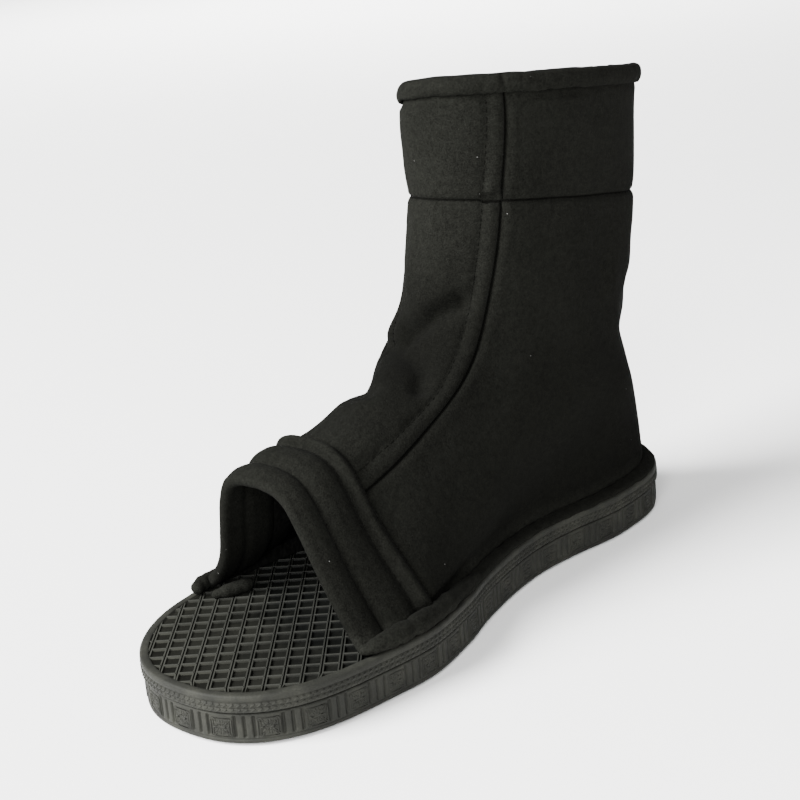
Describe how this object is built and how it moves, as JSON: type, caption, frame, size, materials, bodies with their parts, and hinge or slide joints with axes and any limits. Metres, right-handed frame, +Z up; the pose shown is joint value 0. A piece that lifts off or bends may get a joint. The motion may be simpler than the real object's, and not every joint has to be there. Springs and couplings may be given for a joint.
{
  "type": "ninja boot",
  "caption": "Right ankle boot with an open toe: tall cloth shaft with a back zip, ribbed band over the toes, moulded sole with grooved sides and a waffle footbed.",
  "frame": {"origin": "middle of the boot's box on the floor it stands on", "axes": "+X from heel to toe, +Y to the inner side of the foot, +Z up"},
  "size_m": [0.2956, 0.1128, 0.2163],
  "materials": {
    "outsole": "matte, moulded",
    "midsole": "satin, moulded",
    "cloth": "brushed, napped",
    "tape": "woven",
    "metal": "black, satin"
  },
  "bodies": {
    "boot": {"outsole": "outsole", "midsole": "midsole", "upper": "cloth", "base_roll": "cloth", "toe_band": "cloth", "collar_binding": "cloth", "zip_tape": "tape", "zip_chain": "metal", "zip_slider": "metal"},
    "zip_pull": {"zip_pull": "metal"}
  },
  "joints": [
    {"name": "pull_swing", "type": "hinge", "parent": "boot", "child": "zip_pull", "pos_m": [-0.14561, 0.00415, 0.1835], "axis": [0, 1, 0], "range_deg": [-6, 150]}
  ]
}
